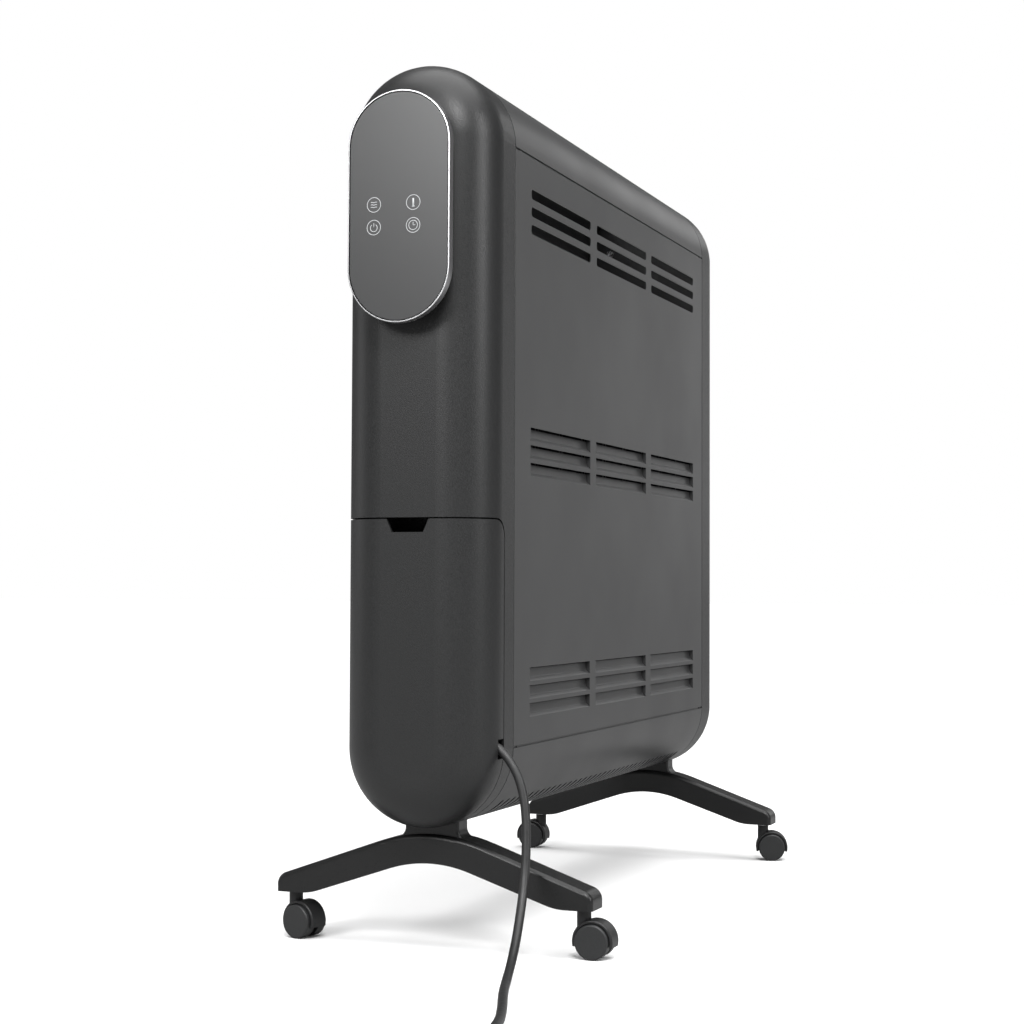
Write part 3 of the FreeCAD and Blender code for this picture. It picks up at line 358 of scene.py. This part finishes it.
def makeRelief():
    low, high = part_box("cord_strain_relief")
    centreY, centreZ = (low.y + high.y) / 2, (low.z + high.z) / 2
    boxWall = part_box("terminal_box")[1].x
    length = high.x - boxWall
    edge = reliefSet["edge"]
    rings = [(0, reliefSet["rootRadius"] - 0.001), (0.0001, reliefSet["flangeRadius"] - 0.0004),
             (edge, reliefSet["flangeRadius"]), (reliefSet["flange"] - edge, reliefSet["flangeRadius"]),
             (reliefSet["flange"], reliefSet["flangeRadius"] - edge)]

    def taper(distance):
        share = (distance - reliefSet["flange"]) / (length - reliefSet["flange"])
        return reliefSet["rootRadius"] + (reliefSet["tipRadius"] - reliefSet["rootRadius"]) * share

    for index in range(reliefSet["grooves"]):
        start = reliefSet["flange"] + reliefSet["firstGroove"] + index * reliefSet["groovePitch"]
        stop = start + reliefSet["grooveWidth"]
        rings += [(start, taper(start)), (start + 0.0002, taper(start) - reliefSet["grooveDepth"]),
                  (stop - 0.0002, taper(stop) - reliefSet["grooveDepth"]), (stop, taper(stop))]
    rings += [(length - 0.0006, taper(length)), (length, reliefSet["tipRadius"] - edge)]
    relief = turned("strainRelief", (boxWall, centreY, centreZ), (1, 0, 0), rings, 40)
    smooth(relief, 40)
    return relief


mainsLead = makeCord()
plugPieces = makePlug()
strainRelief = makeRelief()
print("lead, plug and strain relief made")


def beginFinish(name):
    finish = bpy.data.materials.new(name)
    finish.use_nodes = True
    return finish, finish.node_tree.nodes["Principled BSDF"]


def addNoise(finish, scale, detail=2.0, stretch=(1, 1, 1)):
    # noise fixed to the piece, in its own metres
    nodes, links = finish.node_tree.nodes, finish.node_tree.links
    place = nodes.new("ShaderNodeTexCoord")
    fit = nodes.new("ShaderNodeMapping")
    fit.inputs["Scale"].default_value = stretch
    noise = nodes.new("ShaderNodeTexNoise")
    noise.inputs["Scale"].default_value = scale
    noise.inputs["Detail"].default_value = detail
    links.new(place.outputs["Object"], fit.inputs["Vector"])
    links.new(fit.outputs["Vector"], noise.inputs["Vector"])
    return noise.outputs["Fac"]


def addTones(finish, source, darker, lighter, low=0.35, high=0.65):
    nodes, links = finish.node_tree.nodes, finish.node_tree.links
    ramp = nodes.new("ShaderNodeValToRGB")
    ramp.color_ramp.elements[0].position = low
    ramp.color_ramp.elements[1].position = high
    ramp.color_ramp.elements[0].color = (*darker, 1)
    ramp.color_ramp.elements[1].color = (*lighter, 1)
    links.new(source, ramp.inputs["Fac"])
    return ramp.outputs["Color"]


def addRange(finish, source, low, high):
    nodes, links = finish.node_tree.nodes, finish.node_tree.links
    spread = nodes.new("ShaderNodeMapRange")
    spread.inputs["From Min"].default_value = 0.3
    spread.inputs["From Max"].default_value = 0.7
    spread.inputs["To Min"].default_value = low
    spread.inputs["To Max"].default_value = high
    links.new(source, spread.inputs["Value"])
    return spread.outputs["Result"]


def addBump(finish, shader, source, strength, depth, below=None):
    nodes, links = finish.node_tree.nodes, finish.node_tree.links
    bump = nodes.new("ShaderNodeBump")
    bump.inputs["Strength"].default_value = strength
    bump.inputs["Distance"].default_value = depth
    links.new(source, bump.inputs["Height"])
    if below is not None:
        links.new(below, bump.inputs["Normal"])
    links.new(bump.outputs["Normal"], shader.inputs["Normal"])
    return bump.outputs["Normal"]


def shaded(color, ratio):
    return tuple(channel * ratio for channel in color)


def mouldedPlastic(name, color, roughness=0.5, grain=1500, grainDepth=0.00012, strength=0.35):
    # spark-eroded grain in the moulding's face
    finish, shader = beginFinish(name)
    links = finish.node_tree.links
    fine = addNoise(finish, grain, 3)
    tones = addTones(finish, fine, shaded(color, 0.85), shaded(color, 1.15))
    links.new(tones, shader.inputs["Base Color"])
    links.new(addRange(finish, fine, roughness - 0.07, roughness + 0.07), shader.inputs["Roughness"])
    shader.inputs["Specular IOR Level"].default_value = 0.36
    addBump(finish, shader, fine, strength, grainDepth)
    return finish


def powderPaint(name, color, roughness=0.42):
    # baked powder paint: orange peel under a fine speckle
    finish, shader = beginFinish(name)
    links = finish.node_tree.links
    cloud = addNoise(finish, 9, 2)
    peel = addNoise(finish, 420, 2)
    speckle = addNoise(finish, 2600, 2)
    tones = addTones(finish, speckle, shaded(color, 0.95), shaded(color, 1.05))
    links.new(tones, shader.inputs["Base Color"])
    links.new(addRange(finish, cloud, roughness - 0.03, roughness + 0.03), shader.inputs["Roughness"])
    shader.inputs["Specular IOR Level"].default_value = 0.4
    under = addBump(finish, shader, peel, 0.12, 0.0002)
    addBump(finish, shader, speckle, 0.12, 0.00006, under)
    return finish


def zincSteel(name):
    # galvanised sheet with its spangles
    finish, shader = beginFinish(name)
    nodes, links = finish.node_tree.nodes, finish.node_tree.links
    place = nodes.new("ShaderNodeTexCoord")
    spangle = nodes.new("ShaderNodeTexVoronoi")
    spangle.inputs["Scale"].default_value = 160
    links.new(place.outputs["Object"], spangle.inputs["Vector"])
    tone = nodes.new("ShaderNodeSeparateColor")
    links.new(spangle.outputs["Color"], tone.inputs["Color"])
    tones = addTones(finish, tone.outputs["Red"], (0.46, 0.47, 0.49), (0.62, 0.63, 0.65), 0, 1)
    links.new(tones, shader.inputs["Base Color"])
    links.new(addRange(finish, tone.outputs["Green"], 0.34, 0.5), shader.inputs["Roughness"])
    shader.inputs["Metallic"].default_value = 1.0
    addBump(finish, shader, tone.outputs["Red"], 0.06, 0.0002)
    return finish


def drawnSteel(name, color, roughness, stretch=(1, 1, 1), depth=0.08, spread=0.06):
    # bright metal with fine drawing or brushing lines
    finish, shader = beginFinish(name)
    links = finish.node_tree.links
    lines = addNoise(finish, 900, 3, stretch)
    tones = addTones(finish, lines, shaded(color, 1 - 1.5 * spread), color)
    links.new(tones, shader.inputs["Base Color"])
    links.new(addRange(finish, lines, roughness - spread, roughness + spread), shader.inputs["Roughness"])
    shader.inputs["Metallic"].default_value = 1.0
    addBump(finish, shader, lines, depth, 0.00005)
    return finish


def panelGlass(name):
    # smoked glass over grey backing paint, its face etched to a satin
    finish, shader = beginFinish(name)
    links = finish.node_tree.links
    etched = addNoise(finish, 3200, 2)
    tones = addTones(finish, etched, (0.027, 0.0275, 0.028), (0.031, 0.0315, 0.032))
    links.new(tones, shader.inputs["Base Color"])
    links.new(addRange(finish, etched, 0.30, 0.34), shader.inputs["Roughness"])
    shader.inputs["IOR"].default_value = 1.52
    return finish


def rubberSheath(name, color, roughness=0.46):
    # extruded flexible sheath with faint drag lines
    finish, shader = beginFinish(name)
    links = finish.node_tree.links
    drag = addNoise(finish, 260, 3)
    fine = addNoise(finish, 2200, 2)
    tones = addTones(finish, drag, shaded(color, 0.9), shaded(color, 1.1))
    links.new(tones, shader.inputs["Base Color"])
    links.new(addRange(finish, drag, roughness - 0.05, roughness + 0.06), shader.inputs["Roughness"])
    addBump(finish, shader, fine, 0.15, 0.00005)
    return finish


def boardGreen(name):
    # solder mask over copper tracks
    finish, shader = beginFinish(name)
    nodes, links = finish.node_tree.nodes, finish.node_tree.links
    place = nodes.new("ShaderNodeTexCoord")
    tracks = nodes.new("ShaderNodeTexBrick")
    tracks.inputs["Scale"].default_value = 180
    tracks.inputs["Color1"].default_value = (0.02, 0.13, 0.06, 1)
    tracks.inputs["Color2"].default_value = (0.025, 0.16, 0.07, 1)
    tracks.inputs["Mortar"].default_value = (0.06, 0.24, 0.10, 1)
    tracks.inputs["Mortar Size"].default_value = 0.06
    upright = nodes.new("ShaderNodeMapping")
    upright.inputs["Rotation"].default_value = (math.radians(90), 0, 0)
    links.new(place.outputs["Object"], upright.inputs["Vector"])
    links.new(upright.outputs["Vector"], tracks.inputs["Vector"])
    links.new(tracks.outputs["Color"], shader.inputs["Base Color"])
    addBump(finish, shader, tracks.outputs["Fac"], 0.2, 0.00008)
    shader.inputs["Roughness"].default_value = 0.3
    return finish


def oilFill(name):
    # clear thermal oil with a slight haze
    finish, shader = beginFinish(name)
    links = finish.node_tree.links
    haze = addNoise(finish, 20, 3)
    tones = addTones(finish, haze, (0.52, 0.30, 0.06), (0.62, 0.38, 0.09))
    links.new(tones, shader.inputs["Base Color"])
    shader.inputs["Roughness"].default_value = 0.08
    shader.inputs["IOR"].default_value = 1.47
    return finish


def inkWhite(name):
    # screen printed symbols
    finish, shader = beginFinish(name)
    links = finish.node_tree.links
    grain = addNoise(finish, 3000, 2)
    tones = addTones(finish, grain, (0.42, 0.43, 0.44), (0.48, 0.49, 0.50))
    links.new(tones, shader.inputs["Base Color"])
    shader.inputs["Roughness"].default_value = 0.45
    return finish


finishes = {
    "capPlastic": mouldedPlastic("capPlastic", (0.0125, 0.0127, 0.013), 0.40, 1100, 0.0002, 0.45),
    "panelPaint": powderPaint("panelPaint", (0.031, 0.0313, 0.0318), 0.42),
    # dark grey fin paint, kept this dark as painted shade for the cabinet's shaded inside seen through the
    # slots
    "finPaintAndInsideShade": powderPaint("finPaintAndInsideShade", (0.020, 0.020, 0.021), 0.4),
    "housingPlastic": mouldedPlastic("housingPlastic", (0.014, 0.014, 0.015), 0.5),
    "trayPlastic": mouldedPlastic("trayPlastic", (0.022, 0.022, 0.023), 0.5),
    "footPlastic": mouldedPlastic("footPlastic", (0.0065, 0.0066, 0.0068), 0.34),
    "hoodPlastic": mouldedPlastic("hoodPlastic", (0.012, 0.012, 0.0125), 0.4),
    "wheelPlastic": mouldedPlastic("wheelPlastic", (0.020, 0.0205, 0.021), 0.4),
    "boxPlastic": mouldedPlastic("boxPlastic", (0.018, 0.018, 0.019), 0.48),
    "terminalWhite": mouldedPlastic("terminalWhite", (0.72, 0.71, 0.67), 0.5, 900),
    "ringSilver": drawnSteel("ringSilver", (0.52, 0.52, 0.53), 0.32, (1, 1, 1), 0.03, 0.02),
    "screwSteel": drawnSteel("screwSteel", (0.62, 0.62, 0.64), 0.28),
    "elementSteel": drawnSteel("elementSteel", (0.42, 0.38, 0.34), 0.36, (1, 0.08, 1)),
    "springSteel": drawnSteel("springSteel", (0.70, 0.69, 0.66), 0.22),
    "pinBrass": drawnSteel("pinBrass", (0.74, 0.72, 0.66), 0.22, (0.08, 1, 1)),
    "flangeZinc": zincSteel("flangeZinc"),
    "panelGlass": panelGlass("panelGlass"),
    "boardGreen": boardGreen("boardGreen"),
    "oilAmber": oilFill("oilAmber"),
    "cordSheath": rubberSheath("cordSheath", (0.011, 0.0112, 0.0115)),
    "wireSleeve": rubberSheath("wireSleeve", (0.30, 0.05, 0.04), 0.5),
    "inkWhite": inkWhite("inkWhite"),
}
nodeFinishes = {
    "capPlastic": ["front_cap", "rear_cap", "cord_door"],
    "panelPaint": ["side_panel_right", "side_panel_left", "top_cover", "bottom_cover"],
    "trayPlastic": ["storage_tray", "cord_hooks"],
    "housingPlastic": ["control_housing"],
    "ringSilver": ["control_ring"],
    "panelGlass": ["control_glass"],
    "boardGreen": ["control_board", "power_board"],
    "springSteel": ["touch_springs"],
    "screwSteel": ["cap_screws", "control_screws", "foot_screws", "door_hinge_pin", "caster_stems"],
    "flangeZinc": ["element_flange", "oil_plug"],
    "boxPlastic": ["terminal_box", "board_carrier", "tilt_switch", "cord_clamp"],
    "terminalWhite": ["terminal_block", "temperature_probe"],
    "wireSleeve": ["wiring_loom"],
    # the zinc-plated end plates, base channel and core brackets wear the dark fin paint too, as painted
    # shade for the dark inside
    "finPaintAndInsideShade": ["radiator_fins", "end_plates", "base_channel", "core_brackets"],
    "oilAmber": ["thermal_oil"],
    "elementSteel": ["heating_elements", "thermal_cutout"],
    "footPlastic": ["foot_front", "foot_rear"],
    "cordSheath": ["power_cord", "cord_coil", "mains_plug", "cord_strain_relief"],
}
corners = ["fr", "fl", "rr", "rl"]
nodeFinishes["hoodPlastic"] = ["caster_" + corner + "_hood" for corner in corners]
nodeFinishes["screwSteel"] += ["caster_" + corner + "_axle" for corner in corners]
nodeFinishes["wheelPlastic"] = ["caster_" + corner + "_wheel_" + side for corner in corners for side in "ab"]


def finishPiece(piece, finishName):
    piece.data.materials.clear()
    piece.data.materials.append(finishes[finishName])


for finishName, nodeNames in nodeFinishes.items():
    for nodeName in nodeNames:
        finishPiece(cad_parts[nodeName], finishName)
bare = [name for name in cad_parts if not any(name in names for names in nodeFinishes.values())]
print("finishes given; nodes without one:", bare)

finishPiece(mainsLead, "cordSheath")
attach(mainsLead, "cabinet")
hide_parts("power_cord", "cord_coil")
plugBody, plugRibs, plugPins = plugPieces
for piece, finishName, slotName in ((plugBody, "cordSheath", "cord_rubber"),
                                    (plugRibs, "cordSheath", "cord_rubber"),
                                    (plugPins, "pinBrass", "brass")):
    finishPiece(piece, finishName)
    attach(piece, "cabinet")
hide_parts("mains_plug")
finishPiece(strainRelief, "cordSheath")
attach(strainRelief, "cabinet")
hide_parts("cord_strain_relief")


iconSet = {
    "columns": (-0.0206, 0.0125),
    "rows": (0.5798, 0.5622),
    "ringRadius": 0.0057,
    "line": 0.00048,
    "proud": 0.00008,
    "standOff": 0.2,         # the ink's middle lies this share of "proud" in front of the glass
    "waveHalf": 0.0026,
    "waveStep": 0.0019,
    "waveHeight": 0.0002,
    "wavePoints": 19,
    "powerRadius": 0.0029,
    "powerDrop": 0.0003,
    "powerBar": (0.0002, 0.0034),
    "barHalf": 0.0031,
    "barWidth": 0.0014,
    "footHalf": 0.0011,
    "footLine": 0.0008,
    "dialRadius": 0.0036,
    "longHand": 0.0025,
    "shortHand": 0.0018,
}


def printedLine(name, places, closed=False, line=None):
    # a line of ink: a curve flattened onto the glass
    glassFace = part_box("control_glass")[0].y
    width = line or iconSet["line"]
    ink = bpy.data.curves.new(name, "CURVE")
    ink.dimensions = "3D"
    ink.bevel_depth = width / 2
    ink.bevel_resolution = 2
    ink.use_fill_caps = True
    spline = ink.splines.new("POLY")
    spline.points.add(len(places) - 1)
    for point, (x, z) in zip(spline.points, places):
        point.co = (x, 0, z, 1)
    spline.use_cyclic_u = closed
    piece = bpy.data.objects.new(name, ink)
    bpy.context.scene.collection.objects.link(piece)
    makeActive(piece)
    bpy.ops.object.convert(target="MESH")
    piece = bpy.context.object
    piece.scale = (1, 2 * iconSet["proud"] / width, 1)
    piece.location = (0, glassFace - iconSet["proud"] * iconSet["standOff"], 0)
    settle(piece)
    outward(piece)
    return piece


def arcPoints(x, z, radius, start, stop, count):
    angles = [math.radians(start + (stop - start) * index / (count - 1)) for index in range(count)]
    return [(x + radius * math.cos(angle), z + radius * math.sin(angle)) for angle in angles]


def iconRing(x, z, radius):
    return printedLine("ring", arcPoints(x, z, radius, 0, 352.5, 48), True)


def makeIcons():
    left, right = iconSet["columns"]
    upper, lower = iconSet["rows"]
    radius = iconSet["ringRadius"]
    heat = [iconRing(left, upper, radius)]
    for row in (-1, 0, 1):
        waves = []
        for index in range(iconSet["wavePoints"]):
            share = index / (iconSet["wavePoints"] - 1)
            sway = iconSet["waveHeight"] * math.sin(share * 3 * math.pi)
            waves.append((left + (share * 2 - 1) * iconSet["waveHalf"],
                          upper + row * iconSet["waveStep"] + sway))
        heat.append(printedLine("wave", waves))
    arcMiddle = lower - iconSet["powerDrop"]
    barLow, barHigh = iconSet["powerBar"]
    power = [iconRing(left, lower, radius),
             printedLine("arc", arcPoints(left, arcMiddle, iconSet["powerRadius"], 125, 415, 28)),
             printedLine("bar", [(left, lower + barLow), (left, lower + barHigh)])]
    half = iconSet["barHalf"]
    footHalf = iconSet["footHalf"]
    level = [iconRing(right, upper, radius),
             printedLine("bar", [(right, upper - half), (right, upper + half)], False, iconSet["barWidth"]),
             printedLine("foot", [(right - footHalf, upper - half), (right + footHalf, upper - half)],
                         False, iconSet["footLine"])]
    clock = [iconRing(right, lower, radius), iconRing(right, lower, iconSet["dialRadius"]),
             printedLine("hands", [(right, lower + iconSet["longHand"]), (right, lower),
                                   (right + iconSet["shortHand"], lower)])]
    return [joined(heat, "symbolHeat"), joined(power, "symbolPower"),
            joined(level, "symbolLevel"), joined(clock, "symbolTimer")]


for symbol in makeIcons():
    finishPiece(symbol, "inkWhite")
    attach(symbol, "cabinet")
print("symbols printed")


stageSet = {
    "floorTone": 0.90,
    "bounceTone": 0.40,      # the floor as the heater sees it, kept low so its lower half stays dark
    "skyTone": 0.15,         # what lights the heater; the backdrop itself is plain white
    "sunStrength": 3.7,
    "sunFrom": (0.10, -0.05, 1),
    "sunSpread": 70.0,
    # (place, aimed at, width, height, watts)
    "lights": {
        "rightSoftbox": ((3.0, -0.6, 1.75), (0, -0.25, 0.5), 0.6, 1.7, 52),
        "topSoftbox": ((0.95, -1.95, 1.95), (0, -0.3, 0.65), 0.75, 0.75, 46),
        "frontSoftbox": ((-0.5, -2.7, 1.55), (0, -0.35, 0.6), 0.9, 0.8, 42),
        "leftFill": ((-2.8, -0.6, 1.1), (0, 0, 0.4), 1.2, 1.6, 8),
        "rearSoftbox": ((0.9, 4.2, 0.9), (0, 0.1, 0.4), 0.7, 1.2, 4),
        "rearTopSoftbox": ((0.7, 4.0, 2.1), (0, 0.1, 0.6), 1.0, 0.9, 6),
    },
}


def makeFloor():
    deselectAll()
    bpy.ops.mesh.primitive_plane_add(size=60, location=(0, 0, -0.0002))
    floor = bpy.context.object
    floor.name = "floor"
    finish, shader = beginFinish("floorPaper")
    seen = finish.node_tree.nodes.new("ShaderNodeLightPath")
    tones = addTones(finish, seen.outputs["Is Camera Ray"], (stageSet["bounceTone"],) * 3,
                     (stageSet["floorTone"],) * 3, 0, 1)
    finish.node_tree.links.new(tones, shader.inputs["Base Color"])
    shader.inputs["Roughness"].default_value = 0.9
    shader.inputs["Specular IOR Level"].default_value = 0.1
    floor.data.materials.append(finish)


def makeSky():
    # a dim even sky behind a white backdrop
    world = bpy.data.worlds.new("studio")
    bpy.context.scene.world = world
    world.use_nodes = True
    nodes, links = world.node_tree.nodes, world.node_tree.links
    sky = nodes["Background"]
    sky.inputs["Color"].default_value = (*(stageSet["skyTone"],) * 3, 1)
    backdrop = nodes.new("ShaderNodeBackground")
    backdrop.inputs["Color"].default_value = (1, 1, 1, 1)
    seen = nodes.new("ShaderNodeLightPath")
    either = nodes.new("ShaderNodeMixShader")
    links.new(seen.outputs["Is Camera Ray"], either.inputs["Fac"])
    links.new(sky.outputs["Background"], either.inputs[1])
    links.new(backdrop.outputs["Background"], either.inputs[2])
    links.new(either.outputs["Shader"], nodes["World Output"].inputs["Surface"])


def addLamp(light, place, aim):
    lamp = bpy.data.objects.new(light.name, light)
    bpy.context.scene.collection.objects.link(lamp)
    lamp.location = place
    lamp.rotation_mode = "QUATERNION"
    lamp.rotation_quaternion = (Vector(aim) - Vector(place)).to_track_quat("-Z", "Y")


def makeLights():
    sun = bpy.data.lights.new("overheadSun", "SUN")
    sun.energy = stageSet["sunStrength"]
    sun.angle = math.radians(stageSet["sunSpread"])
    addLamp(sun, stageSet["sunFrom"], (0, 0, 0))
    for name, (place, aim, width, height, watts) in stageSet["lights"].items():
        light = bpy.data.lights.new(name, "AREA")
        light.shape = "RECTANGLE"
        light.size = width
        light.size_y = height
        light.energy = watts
        addLamp(light, place, aim)


makeFloor()
makeSky()
makeLights()
bpy.context.scene.view_settings.view_transform = "Standard"
print("stage and light made")
